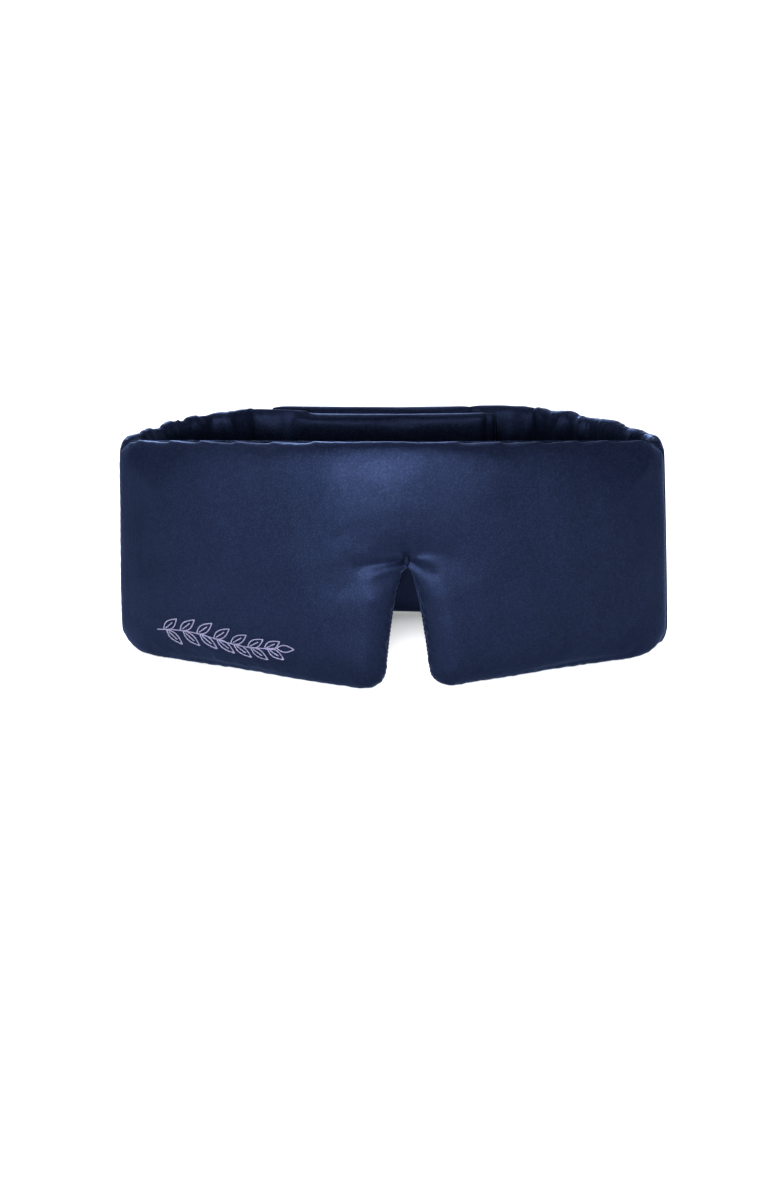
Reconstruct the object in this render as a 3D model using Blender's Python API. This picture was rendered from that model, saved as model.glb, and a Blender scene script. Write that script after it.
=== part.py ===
"""Padded sleep eye mask, closed into a loop and standing on its lower edge.

Metres, +Z up. The front panel faces -Y and the two overlapping straps run across the back, at +Y.
Every sewn layer is a surface that follows a line in plan: at each column along the line the layer
has a section in the plane of the line's normal and Z. A cover and a lining are open shells whose
rims meet at the line with a seam gap, and the wadding and the thin layers lie between them.
"""
import bpy
import numpy as np
from mathutils import Matrix

# ---------------------------------------------------------------- driving dimensions
DEPTH = 0.1036                # outer face at the middle of the front to the back of the closure flap

# front panel
FRONT_HALF_WIDTH = 0.1250     # seam line, middle to side end
FRONT_SWEEP = 0.42            # how far the panel runs back for each metre to the side
FRONT_NOSE_RADIUS = 0.030     # softens the panel's shallow V in plan
FRONT_TOP = 0.1175            # top edge at the middle
FRONT_TOP_FALL = 0.14         # how far the top edge falls for each metre to the side
TOP_CORNER = 0.009
BOTTOM_CORNER = 0.015
CROWN_OUT = 0.0085            # seam line to the outer face
CROWN_IN = 0.0050             # seam line to the face side
CROWN_REACH = 0.020           # how far from an edge the panel is fully thick

# nose notch
NOTCH_X = 0.0085              # the soft panel stands with its bridge a little right of the middle
NOTCH_HEIGHT = 0.060
NOTCH_HALF_WIDTH = 0.0102
NOTCH_POWER = 1.9             # 1 is a straight V, larger is rounder
LOBE_RADIUS = 0.009

# side bands and straps
BAND_TOP = 0.104
BAND_LOW_CORNER = 0.012       # where a band meets the front panel
BAND_HIGH_CORNER = 0.006
FLAP_CORNER = 0.010           # tip of the closure flap
HEM_CORNER = 0.004            # tip of the inner strap
STRAP_CROWN = 0.0035          # seam line to each face
STRAP_REACH = 0.007
LEFT_BULGE = 0.0090           # how far a side band bows out of its chord
RIGHT_BULGE = 0.0065
STRAP_HINGE_X = 0.0665        # where a side band ends and its strap starts
INNER_STRAP_TIP_X = 0.0490
OUTER_STRAP_TIP_X = -0.0630
PEEL_LINE_X = 0.0360          # the closure flap folds back here
OUTER_STEP_LENGTH = 0.0170    # the outer strap steps out over the inner one in this length
BAND_STEP = 0.0030            # the part of that step taken by the right band

# layers
EDGE = 0.0024                 # half thickness of every sewn edge
FABRIC = 0.0007               # satin with its backing
INTERLINING = 0.0004
ELASTIC = 0.0008
TAPE = 0.0008                 # hook tape and loop tape, each
CLEARANCE = 0.0003            # between two pieces that touch
FILL_CLEARANCE = 0.0007       # between a shell, the wadding and the thin layer in it
SEAM_ALLOWANCE = 0.0045       # the filling is cut this much smaller than its shell
SEAM_GAP = 0.00015            # each side of the seam line
SEAM_ROLL_RADIUS = 0.0016     # turned-in seam allowance that a fold turns about
FOLD_CLEARANCE = 0.0010       # seam roll to the ends that turn about it
PEEL_GAP = 0.0004
END_TAPER = 0.010             # a sewn end thins over this length

# closure tapes
TAPE_HEIGHT = 0.060
HOOK_TAPE_LENGTH = 0.050
LOOP_TAPE_LENGTH = 0.092
TAPE_INSET = 0.002            # tape end to the strap's tip or to the peel line

# trim
SPRIG_START_X = -0.104
SPRIG_LENGTH = 0.056
SPRIG_Z = 0.0175
SPRIG_LEAVES = 5
SPRIG_SWAY = 0.0010
SPRIG_STEM = 0.0006           # half its width
SPRIG_LEAF = 0.0016           # half a leaf's width beyond the stem
THREAD = 0.0005
TRIM_CLEARANCE = 0.0006
TACK_WIDTH = 0.0022
TACK_HEIGHT = 0.0050
TACK_ABOVE_NOTCH = 0.0020

# mesh fineness
MIDDLE_ROWS = 6               # rows of every layer
EDGE_SHARES = np.array([0.0, 0.3])   # rows of a shell from its edge to those
LEFT_COLUMNS = 13
RIGHT_COLUMNS = 11
BAND_COLUMNS = 8
STRAP_COLUMNS = 9
ROOT_COLUMNS = 7
ROLL_SIDES = 12
OUTLINE_SAMPLES = 240
SHARP_ANGLE = 0.7             # radians; steeper edges between faces are shaded sharp

# ---------------------------------------------------------------- sizes worked out from the above
FOLD_END = SEAM_ROLL_RADIUS + FOLD_CLEARANCE
STRAP_FACE = STRAP_CROWN + SEAM_GAP
FRONT_Y = SEAM_GAP + CROWN_OUT - DEPTH / 2            # seam line at the middle of the front
OUTER_STRAP_Y = DEPTH / 2 - STRAP_FACE                # mid-planes of the two straps
INNER_STRAP_Y = OUTER_STRAP_Y - 2 * (STRAP_FACE + TAPE) - 3 * CLEARANCE
HINGE_BEHIND_SEAM = SEAM_GAP + EDGE + CLEARANCE + SEAM_ROLL_RADIUS
STRAP_HINGE_Y = INNER_STRAP_Y + BAND_STEP / 2
SIDE_MARGIN = 2 * SEAM_ROLL_RADIUS + CLEARANCE

SATIN = (0.020, 0.032, 0.085, 1.0)
LINING = (0.018, 0.028, 0.075, 1.0)
WADDING = (0.80, 0.79, 0.76, 1.0)
BLACK_CLOTH = (0.010, 0.010, 0.012, 1.0)
WEBBING = (0.75, 0.74, 0.72, 1.0)
CLOSURE = (0.012, 0.016, 0.040, 1.0)
LILAC = (0.36, 0.33, 0.46, 1.0)


def clear_scene():
    """Start from an empty scene."""
    for old in list(bpy.data.objects):
        bpy.data.objects.remove(old, do_unlink=True)


def material(name, colour, roughness, metallic=0.0):
    """Principled material of one colour."""
    made = bpy.data.materials.new(name)
    made.use_nodes = True
    shader = made.node_tree.nodes["Principled BSDF"]
    shader.inputs["Base Color"].default_value = colour
    shader.inputs["Roughness"].default_value = roughness
    shader.inputs["Metallic"].default_value = metallic
    return made


def loft(name, first, second, finish):
    """Closed solid between two grids of points, columns by rows, with matching borders."""
    columns, rows = first.shape[:2]
    points = np.concatenate([first.reshape(-1, 3), second.reshape(-1, 3)])
    here = np.arange(columns * rows).reshape(columns, rows)
    there = here + columns * rows

    def cells(grid):
        corners = [grid[:-1, :-1], grid[1:, :-1], grid[1:, 1:], grid[:-1, 1:]]
        return np.stack(corners, -1).reshape(-1, 4)

    def strip(a, b):
        return np.stack([a[:-1], b[:-1], b[1:], a[1:]], -1)

    faces = np.concatenate([
        cells(here),
        cells(there)[:, ::-1],
        strip(here[:, 0], there[:, 0]),
        strip(there[:, -1], here[:, -1]),
        strip(there[0], here[0]),
        strip(here[-1], there[-1]),
    ])
    mesh = bpy.data.meshes.new(name)
    mesh.from_pydata(points.tolist(), [], faces.tolist())
    volume = sum(face.center.dot(face.normal) * face.area for face in mesh.polygons)
    if volume < 0:
        mesh.flip_normals()
    mesh.materials.append(finish)
    mesh.shade_smooth()
    mesh.set_sharp_from_angle(angle=SHARP_ANGLE)
    made = bpy.data.objects.new(name, mesh)
    bpy.context.scene.collection.objects.link(made)
    return made


def turn_about(name, point, pieces):
    """Parent pieces to an empty on their fold line, leaving them where they are."""
    empty = bpy.data.objects.new(name, None)
    empty.location = (point[0], point[1], 0.0)
    bpy.context.scene.collection.objects.link(empty)
    for piece in pieces:
        piece.parent = empty
        piece.matrix_parent_inverse = Matrix.Translation((-point[0], -point[1], 0.0))


# ---------------------------------------------------------------- lines in plan
def soft_rise(x, slope, radius):
    """Rises as a hyperbola, from 0 at the middle to a straight slope on both sides."""
    return slope * (np.sqrt(x * x + radius * radius) - radius)


def unit(vectors):
    return vectors / np.linalg.norm(vectors, axis=-1, keepdims=True)


def crowded(count):
    """Shares from 0 to 1, closest together at both ends."""
    return (1 - np.cos(np.linspace(0, np.pi, count))) / 2


def front_line(x):
    """Plan points of the front seam line, and its normals, which point out of the loop."""
    y = FRONT_Y + soft_rise(x, FRONT_SWEEP, FRONT_NOSE_RADIUS)
    slope = FRONT_SWEEP * x / np.sqrt(x * x + FRONT_NOSE_RADIUS ** 2)
    return np.stack([x, y], -1), unit(np.stack([slope, -np.ones_like(x)], -1))


def side_fold(side):
    """Plan point of the fold from the front panel to a band; side is 1 at the right, -1 at the left."""
    end, normal = front_line(np.array([side * (FRONT_HALF_WIDTH - SEAM_ROLL_RADIUS)]))
    return end[0] - normal[0] * HINGE_BEHIND_SEAM


def strap_fold(side):
    """Plan point of the fold from a side band to its strap."""
    return np.array([side * STRAP_HINGE_X, STRAP_HINGE_Y])


def band_end_y(side):
    """Where a band's mid-line meets its strap's."""
    return STRAP_HINGE_Y + BAND_STEP if side > 0 else INNER_STRAP_Y


def peel_fold():
    """Plan point that the closure flap turns about: on the outer face, so that its inner face opens."""
    return np.array([PEEL_LINE_X, OUTER_STRAP_Y + STRAP_FACE])


def band_line(side):
    """Circular arc from the side fold to the strap, stopping short of both folds.

    At the strap it stops square to its own direction, clear of the seam roll that lies off its line.
    """
    start = side_fold(side)
    chord = np.array([side * STRAP_HINGE_X, band_end_y(side)]) - start
    length = np.hypot(*chord)
    bulge = RIGHT_BULGE if side > 0 else LEFT_BULGE
    radius = length ** 2 / (8 * bulge) + bulge / 2
    half_angle = np.arcsin(length / (2 * radius))
    onward = chord / length
    outward = side * np.array([onward[1], -onward[0]])
    centre = start + chord / 2 - outward * (radius - bulge)
    last_rise = np.cos(half_angle) * onward[1] - np.sin(half_angle) * outward[1]
    start_trim = FOLD_END
    end_trim = FOLD_END + (band_end_y(side) - STRAP_HINGE_Y) * last_rise
    first, last = start_trim / radius - half_angle, half_angle - end_trim / radius
    angle = (first + (last - first) * crowded(BAND_COLUMNS))[:, None]
    normals = np.cos(angle) * outward + np.sin(angle) * onward
    return centre + radius * normals, normals


def strap_line(x_start, x_end, y, columns, step=0.0):
    """Line along X at y, whose first stretch steps out smoothly from y less step."""
    x = x_start + (x_end - x_start) * crowded(columns)
    share = np.clip(np.abs(x - x_start) / OUTER_STEP_LENGTH, 0, 1)
    points = np.stack([x, y - step * (1 - share * share * (3 - 2 * share))], -1)
    slope = np.sign(x_end - x_start) * step * 6 * share * (1 - share) / OUTER_STEP_LENGTH
    return points, unit(np.stack([-slope, np.ones_like(x)], -1))


# ---------------------------------------------------------------- outlines
def corner(into, radius):
    """Height that a quarter circle takes off an edge, into the corner by this much."""
    into = np.clip(into, 0, radius)
    return radius - np.sqrt(np.maximum(radius ** 2 - into ** 2, 0))


def notch(x):
    """Lower edge at the nose: an arch with a rounded lobe at each foot."""
    off = np.abs(x - NOTCH_X)
    arch = NOTCH_HEIGHT - (NOTCH_HEIGHT - LOBE_RADIUS) * (off / NOTCH_HALF_WIDTH) ** NOTCH_POWER
    lobe = corner(NOTCH_HALF_WIDTH + LOBE_RADIUS - off, LOBE_RADIUS)
    return np.where(off < NOTCH_HALF_WIDTH, arch, lobe)


def front_low(x):
    return np.maximum(notch(x), corner(np.abs(x) - FRONT_HALF_WIDTH + BOTTOM_CORNER, BOTTOM_CORNER))


def front_high(x):
    fall = soft_rise(x, FRONT_TOP_FALL, FRONT_NOSE_RADIUS)
    return FRONT_TOP - fall - corner(np.abs(x) - FRONT_HALF_WIDTH + TOP_CORNER, TOP_CORNER)


class Panel:
    """A sewn panel: its line in plan, its outline, and its thickness on both sides of the line.

    margins are the flat widths at its start and its end, before it thickens; None is a cut end.
    """

    def __init__(self, line, along, low, high, out, back, reach, margins):
        self.points, self.normals = line
        self.along, self.low, self.high = along, low, high
        self.out, self.back, self.reach = out, back, reach
        self.fullness = np.ones(len(along))
        for margin, gone in zip(margins, (along - along[0], along[-1] - along)):
            if margin is not None:
                self.fullness *= 1 - (1 - np.clip((gone - margin) / END_TAPER, 0, 1)) ** 2
        spread = np.linspace(along[0], along[-1], OUTLINE_SAMPLES)
        self.sample = np.unique(np.concatenate([along, spread]))

    def inset(self, edge, amount, sign):
        """An edge moved into the panel, square to itself; sign is 1 for the lower edge."""
        if amount == 0:
            return edge(self.along)
        off = np.linspace(-amount, amount, OUTLINE_SAMPLES)
        near = np.clip(self.along[:, None] + off, self.along[0], self.along[-1])
        reach = np.sqrt(np.maximum(amount ** 2 - (near - self.along[:, None]) ** 2, 0))
        return sign * (sign * edge(near) + reach).max(1)

    def interior(self):
        """Heights of the points that every layer of the panel has, closest near the edges."""
        border = FABRIC + SEAM_ALLOWANCE
        low = self.inset(self.low, border, 1)[:, None]
        high = self.inset(self.high, border, -1)[:, None]
        return low + (high - low) * crowded(MIDDLE_ROWS + 1)

    def heights(self, depth):
        """The interior points, and rows out to both edges of the wall that lies this deep."""
        borders = depth + (FABRIC + SEAM_ALLOWANCE - depth) * EDGE_SHARES
        low = np.stack([self.inset(self.low, border, 1) for border in borders], 1)
        high = np.stack([self.inset(self.high, border, -1) for border in borders[::-1]], 1)
        return np.concatenate([low, self.interior(), high], 1)

    def distance(self, z):
        """Distance from each point to the lower or the upper edge, whichever is nearer."""
        here = np.stack([np.broadcast_to(self.along[:, None], z.shape), z], -1)[..., None, :]
        nearest = np.full(z.shape, np.inf)
        for edge in (self.low, self.high):
            line = np.stack([self.sample, edge(self.sample)], -1)
            start, run = line[:-1], np.diff(line, axis=0)
            share = ((here - start) * run).sum(-1) / (run * run).sum(-1)
            gap = here - start - np.clip(share, 0, 1)[..., None] * run
            nearest = np.minimum(nearest, np.sqrt((gap * gap).sum(-1)).min(-1))
        return nearest

    def offset(self, z, side, depth):
        """Distance from the line to the surface that lies depth under the outer or the inner face."""
        crown = (self.out if side > 0 else self.back) - EDGE
        into = np.clip((self.distance(z) - depth) / (self.reach - depth), 0, 1)
        rounded = np.sqrt(1 - (1 - into) ** 2)
        return side * (SEAM_GAP + EDGE - depth + crown * rounded * self.fullness[:, None])

    def place(self, offset, z):
        """World points from distances along the normals, and heights."""
        flat = self.points[:, None] + offset[..., None] * self.normals[:, None]
        return np.concatenate([flat, z[..., None]], -1)

    def shell(self, name, side, finish):
        """A cover, side 1, or a lining, side -1: a thin shell that is open at the seam line."""
        walls = []
        for depth in (0.0, FABRIC):
            z = self.heights(depth)
            rim = np.full((len(z), 1), side * SEAM_GAP)
            offset = np.concatenate([rim, self.offset(z, side, depth), rim], 1)
            walls.append(self.place(offset, np.concatenate([z[:, :1], z, z[:, -1:]], 1)))
        return loft(name, walls[0], walls[1], finish)

    def wadding(self, name, finish, layer=0.0):
        """Filling between the shells, with room at its back for a thin layer."""
        depth = FABRIC + FILL_CLEARANCE
        behind = depth + layer + FILL_CLEARANCE if layer else depth
        z = self.interior()
        front = self.place(self.offset(z, 1, depth), z)
        return loft(name, front, self.place(self.offset(z, -1, behind), z), finish)

    def layer(self, name, thickness, finish):
        """Thin layer between the wadding and the lining."""
        depth = FABRIC + FILL_CLEARANCE
        z = self.interior()
        outer = self.place(self.offset(z, -1, depth), z)
        return loft(name, outer, self.place(self.offset(z, -1, depth + thickness), z), finish)


# ---------------------------------------------------------------- front panel
def front_columns():
    """Columns across the front panel, closest where its outline turns."""
    turn = np.sin(np.linspace(0, np.pi / 2, 6))
    ends = FRONT_HALF_WIDTH - BOTTOM_CORNER * (1 - turn)
    arch = NOTCH_HALF_WIDTH * np.sin(np.linspace(0, np.pi / 2, 7))
    lobe = NOTCH_HALF_WIDTH + LOBE_RADIUS * (1 - np.cos(np.linspace(0, np.pi / 2, 4)))
    foot = NOTCH_HALF_WIDTH + LOBE_RADIUS
    nose = np.concatenate([arch, lobe])
    left = np.linspace(-ends[0], NOTCH_X - foot, LEFT_COLUMNS)
    right = np.linspace(NOTCH_X + foot, ends[0], RIGHT_COLUMNS)
    every = np.concatenate([ends, -ends, NOTCH_X + nose, NOTCH_X - nose, left, right])
    return np.unique(np.round(every, 6))


def front_panel(columns):
    return Panel(front_line(columns), columns, front_low, front_high,
                 CROWN_OUT, CROWN_IN, CROWN_REACH, (SIDE_MARGIN, SIDE_MARGIN))


def raised_thread(name, x, middle, half_width, finish):
    """Satin stitch on the outer face of the front, centred on the heights middle."""
    full = front_panel(front_columns())
    panel = front_panel(x)
    panel.sample = full.sample
    panel.fullness = np.interp(x, full.along, full.fullness)
    z = middle[:, None] + half_width[:, None] * np.linspace(-1, 1, 4)
    under = panel.offset(z, 1, 0.0) + TRIM_CLEARANCE
    return loft(name, panel.place(under, z), panel.place(under + THREAD, z), finish)


def sprig(finish):
    """Embroidered sprig, low on the left: a stem that swells into a row of leaves."""
    share = np.linspace(0, 1, 6 * SPRIG_LEAVES + 1)
    x = SPRIG_START_X + SPRIG_LENGTH * share
    middle = SPRIG_Z + SPRIG_SWAY * np.sin(2 * np.pi * share)
    leaf = np.sin(np.pi * SPRIG_LEAVES * share) ** 2
    return raised_thread("embroidered_sprig", x, middle, SPRIG_STEM + SPRIG_LEAF * leaf, finish)


def bar_tack(finish):
    """Short dense stitch that holds the tuck above the notch."""
    x = NOTCH_X + np.linspace(-TACK_WIDTH / 2, TACK_WIDTH / 2, 3)
    middle = np.full(3, NOTCH_HEIGHT + TACK_ABOVE_NOTCH + TACK_HEIGHT / 2)
    return raised_thread("nose_bar_tack", x, middle, np.full(3, TACK_HEIGHT / 2), finish)


def seam_roll(name, point, low, high, finish):
    """Turned-in seam allowance: an upright round bar on a fold line."""
    place = (point[0], point[1], (low + high) / 2)
    bpy.ops.mesh.primitive_cylinder_add(
        vertices=ROLL_SIDES, radius=SEAM_ROLL_RADIUS, depth=high - low, location=place)
    made = bpy.context.object
    made.name = name
    made.data.name = name
    made.data.materials.append(finish)
    return made


def build_front(cloth):
    panel = front_panel(front_columns())
    panel.shell("front_cover", 1, cloth["satin"])
    panel.shell("face_lining", -1, cloth["lining"])
    panel.wadding("front_padding", cloth["wadding"], INTERLINING)
    panel.layer("blackout_layer", INTERLINING, cloth["blackout"])
    sprig(cloth["thread"])
    bar_tack(cloth["satin"])
    for side, word in ((-1, "left"), (1, "right")):
        low = BOTTOM_CORNER
        high = front_high(np.array([FRONT_HALF_WIDTH]))[0]
        seam_roll(f"{word}_side_seam", side_fold(side), low, high, cloth["lining"])


# ---------------------------------------------------------------- side bands and straps
def band_panel(line, corners, margins):
    """A full-height band or strap; corners are the radii at its start and its end, low then high."""
    steps = np.hypot(*np.diff(line[0], axis=0).T)
    along = np.concatenate([[0.0], np.cumsum(steps)])

    def low(a):
        return np.maximum(corner(corners[0] - a, corners[0]), corner(a - along[-1] + corners[2], corners[2]))

    def high(a):
        cut = np.maximum(corner(corners[1] - a, corners[1]), corner(a - along[-1] + corners[3], corners[3]))
        return BAND_TOP - cut

    return Panel(line, along, low, high, STRAP_CROWN, STRAP_CROWN, STRAP_REACH, margins)


def build_band(side, word, cloth):
    """Ruched side band: satin gathered over a wide elastic."""
    corners = (BAND_LOW_CORNER, BAND_HIGH_CORNER, 0.0, 0.0)
    panel = band_panel(band_line(side), corners, (0.0, 0.0))
    pieces = [
        panel.shell(f"{word}_band_cover", 1, cloth["satin"]),
        panel.shell(f"{word}_band_lining", -1, cloth["lining"]),
        panel.wadding(f"{word}_band_padding", cloth["wadding"], ELASTIC),
        panel.layer(f"{word}_band_elastic", ELASTIC, cloth["elastic"]),
        seam_roll(f"{word}_strap_seam", strap_fold(side), 0.0, BAND_TOP, cloth["lining"]),
    ]
    turn_about(f"{word}_side_fold", side_fold(side), pieces)


def build_strap(name, line, corners, margins, cloth):
    """Cover, lining and wadding of one stretch of strap."""
    panel = band_panel(line, corners, margins)
    return [
        panel.shell(f"{name}_cover", 1, cloth["satin"]),
        panel.shell(f"{name}_lining", -1, cloth["lining"]),
        panel.wadding(f"{name}_padding", cloth["wadding"]),
    ]


def tape(name, x_low, x_high, y_low, finish):
    """Flat closure tape, centred on the strap's height."""
    bpy.ops.mesh.primitive_cube_add(size=1.0)
    made = bpy.context.object
    made.name = name
    made.data.name = name
    made.data.transform(Matrix.Diagonal((x_high - x_low, TAPE, TAPE_HEIGHT, 1.0)))
    made.location = ((x_low + x_high) / 2, y_low + TAPE / 2, BAND_TOP / 2)
    made.data.materials.append(finish)
    return made


def build_inner_strap(cloth):
    """The strap from the left band, which lies against the head and carries the hook tape."""
    line = strap_line(FOLD_END - STRAP_HINGE_X, INNER_STRAP_TIP_X, INNER_STRAP_Y, STRAP_COLUMNS)
    corners = (0.0, 0.0, HEM_CORNER, HEM_CORNER)
    pieces = build_strap("inner_strap", line, corners, (0.0, 0.0), cloth)
    end = PEEL_LINE_X - TAPE_INSET
    face = INNER_STRAP_Y + STRAP_FACE + CLEARANCE
    pieces.append(tape("hook_tape", end - HOOK_TAPE_LENGTH, end, face, cloth["closure"]))
    turn_about("inner_strap_fold", strap_fold(-1), pieces)


def build_outer_strap(cloth):
    """The root of the strap from the right band, which steps out over the inner strap."""
    start = STRAP_HINGE_X - FOLD_END
    step = OUTER_STRAP_Y - band_end_y(1)
    line = strap_line(start, PEEL_LINE_X + PEEL_GAP / 2, OUTER_STRAP_Y, ROOT_COLUMNS, step)
    pieces = build_strap("outer_strap", line, (0.0, 0.0, 0.0, 0.0), (0.0, None), cloth)
    turn_about("outer_strap_fold", strap_fold(1), pieces)


def build_flap(cloth):
    """The free end of the outer strap, which carries the loop tape and peels off the inner strap."""
    line = strap_line(PEEL_LINE_X - PEEL_GAP / 2, OUTER_STRAP_TIP_X, OUTER_STRAP_Y, STRAP_COLUMNS)
    corners = (0.0, 0.0, FLAP_CORNER, FLAP_CORNER)
    pieces = build_strap("closure_flap", line, corners, (None, 0.0), cloth)
    end = PEEL_LINE_X - TAPE_INSET
    face = OUTER_STRAP_Y - STRAP_FACE - CLEARANCE - TAPE
    pieces.append(tape("loop_tape", end - LOOP_TAPE_LENGTH, end, face, cloth["closure"]))
    turn_about("closure_peel", peel_fold(), pieces)


clear_scene()
CLOTH = {
    "satin": material("navy_satin", SATIN, 0.38),
    "lining": material("navy_lining", LINING, 0.45),
    "wadding": material("white_wadding", WADDING, 0.95),
    "blackout": material("blackout_cloth", BLACK_CLOTH, 0.90),
    "elastic": material("woven_elastic", WEBBING, 0.80),
    "closure": material("hook_and_loop", CLOSURE, 0.90),
    "thread": material("lilac_thread", LILAC, 0.50),
}
build_front(CLOTH)
build_band(-1, "left", CLOTH)
build_band(1, "right", CLOTH)
build_inner_strap(CLOTH)
build_outer_strap(CLOTH)
build_flap(CLOTH)
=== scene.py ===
import math

import bpy
import numpy as np
from mathutils import Matrix, Vector


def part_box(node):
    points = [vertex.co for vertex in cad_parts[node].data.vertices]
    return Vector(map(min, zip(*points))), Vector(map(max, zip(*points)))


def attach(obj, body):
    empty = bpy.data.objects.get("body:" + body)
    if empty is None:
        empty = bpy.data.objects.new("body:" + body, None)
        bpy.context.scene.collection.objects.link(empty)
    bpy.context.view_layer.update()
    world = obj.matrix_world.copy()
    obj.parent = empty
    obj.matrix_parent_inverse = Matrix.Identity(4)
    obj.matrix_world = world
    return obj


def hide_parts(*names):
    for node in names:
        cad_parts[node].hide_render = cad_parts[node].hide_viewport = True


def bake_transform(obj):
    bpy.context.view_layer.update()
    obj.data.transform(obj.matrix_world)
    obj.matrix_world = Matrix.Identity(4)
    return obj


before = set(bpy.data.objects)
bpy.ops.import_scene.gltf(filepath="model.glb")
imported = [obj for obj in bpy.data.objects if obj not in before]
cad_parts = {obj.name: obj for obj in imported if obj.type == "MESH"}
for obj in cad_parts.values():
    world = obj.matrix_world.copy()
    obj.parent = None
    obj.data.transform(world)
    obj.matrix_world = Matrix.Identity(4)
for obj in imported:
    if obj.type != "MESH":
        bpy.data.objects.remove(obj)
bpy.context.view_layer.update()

# ============================================================ camera, floor and lamps
# A portrait camera that looks a little down on the front panel from just right of its
# middle. The mask stands on a plain pale floor between large soft lamps.

CAMERA_AT = (-0.0012, -1.0151, 0.4552)
LOOKS_DOWN = 22.94             # degrees
CAMERA_TWIST = -0.98
ROUND_THE_MASK = 3.0
LENS = 71.16                   # millimetres
SENSOR = 36.0
NEAREST_SEEN = 0.05

camera = bpy.data.objects.new("camera", bpy.data.cameras.new("camera"))
bpy.context.scene.collection.objects.link(camera)
camera.data.lens = LENS
camera.data.sensor_width = SENSOR
camera.data.clip_start = NEAREST_SEEN
camera.matrix_world = (
    Matrix.Rotation(math.radians(ROUND_THE_MASK), 4, "Z")
    @ Matrix.Translation(CAMERA_AT)
    @ Matrix.Rotation(math.radians(90 - LOOKS_DOWN), 4, "X")
    @ Matrix.Rotation(math.radians(CAMERA_TWIST), 4, "Z")
)
bpy.context.scene.camera = camera
# Standard keeps the floor white and the navy dark, which a filmic curve would lift.
bpy.context.scene.view_settings.view_transform = "Standard"


class Value:
    """A shader socket. Python's operators on it add Math nodes."""

    def __init__(self, tree, socket):
        self.tree, self.socket = tree, socket

    def math(self, operation, *others, clamp=False):
        """This socket and the others through one Math node."""
        return node(self.tree, "ShaderNodeMath", (self, *others), operation=operation, use_clamp=clamp)

    def __add__(self, other):
        return self.math("ADD", other)

    def __sub__(self, other):
        return self.math("SUBTRACT", other)

    def __mul__(self, other):
        return self.math("MULTIPLY", other)

    def __truediv__(self, other):
        return self.math("DIVIDE", other)

    def __pow__(self, other):
        return self.math("POWER", other)

    def __rsub__(self, other):
        return node(self.tree, "ShaderNodeMath", (other, self), operation="SUBTRACT")

    __radd__ = __add__
    __rmul__ = __mul__

    def clamp(self):
        """The same value, kept between 0 and 1."""
        return self.math("ADD", 0.0, clamp=True)


def node(tree, kind, values=(), output=0, stops=None, **settings):
    """One shader node: its settings first, then the values or links of its sockets."""
    made = tree.nodes.new(kind)
    for key, value in settings.items():
        setattr(made, key, value)
    if stops:
        ramp = made.color_ramp
        while len(ramp.elements) < len(stops):
            ramp.elements.new(0.5)
        for element, (place, colour) in zip(ramp.elements, stops):
            element.position = place
            element.color = colour
    pairs = values.items() if isinstance(values, dict) else enumerate(values)
    for key, value in pairs:
        if isinstance(value, Value):
            tree.links.new(value.socket, made.inputs[key])
        else:
            made.inputs[key].default_value = value
    return Value(tree, made.outputs[output])


class Finish:
    """A material: its node tree, its Principled shader and the place on the piece in metres."""

    def __init__(self, name):
        self.material = bpy.data.materials.new(name)
        self.material.use_nodes = True
        self.tree = self.material.node_tree
        self.shader = self.tree.nodes["Principled BSDF"]
        self.place = self.add("ShaderNodeTexCoord", output="Object")

    def add(self, kind, values=(), **settings):
        """Any node of this material."""
        return node(self.tree, kind, values, **settings)

    def stretched(self, scale, turn=(0.0, 0.0, 0.0)):
        """The place times scale along each axis, turned."""
        return self.add("ShaderNodeMapping", {"Vector": self.place, "Scale": scale, "Rotation": turn})

    def noise(self, scale, detail=2.0, rough=0.5, at=None):
        """Cloudy noise with about this many clouds to the metre."""
        values = {"Vector": at or self.place, "Scale": scale, "Detail": detail, "Roughness": rough}
        return self.add("ShaderNodeTexNoise", values)

    def mix(self, share, first, second):
        """A colour between two, by share."""
        values = {0: share, 6: first, 7: second}
        return self.add("ShaderNodeMix", values, output=2, data_type="RGBA")

    def bump(self, height, distance, strength=1.0, under=None):
        """Relief of height times distance, over the relief under it."""
        values = {"Height": height, "Distance": distance, "Strength": strength}
        if under:
            values["Normal"] = under
        return self.add("ShaderNodeBump", values)

    def set(self, **sockets):
        """Sets or links the shader's sockets, an underscore for each space in their names."""
        for key, value in sockets.items():
            socket = self.shader.inputs[key.replace("_", " ")]
            if isinstance(value, Value):
                self.tree.links.new(value.socket, socket)
            else:
                socket.default_value = value
        return self.material


def mesh_object(name, points, faces, finish, smooth=True):
    """A mesh object at the origin, from arrays of points and faces."""
    mesh = bpy.data.meshes.new(name)
    mesh.from_pydata(np.asarray(points, float).reshape(-1, 3).tolist(), [],
                     faces if isinstance(faces, list) else faces.tolist())
    if finish:
        mesh.materials.append(finish)
    if smooth:
        mesh.shade_smooth()
    made = bpy.data.objects.new(name, mesh)
    bpy.context.scene.collection.objects.link(made)
    return made


FLOOR_COLOUR = (0.86, 0.86, 0.87, 1.0)
FLOOR_ROUGHNESS = 0.8
FLOOR_REACH = 3.0
FLOOR_HALF_WIDTH = 4.0
SWEEP_FROM = 1.6               # the floor curves up into a wall behind this line
SWEEP_RADIUS = 1.4
WALL_TOP = 4.0

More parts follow.
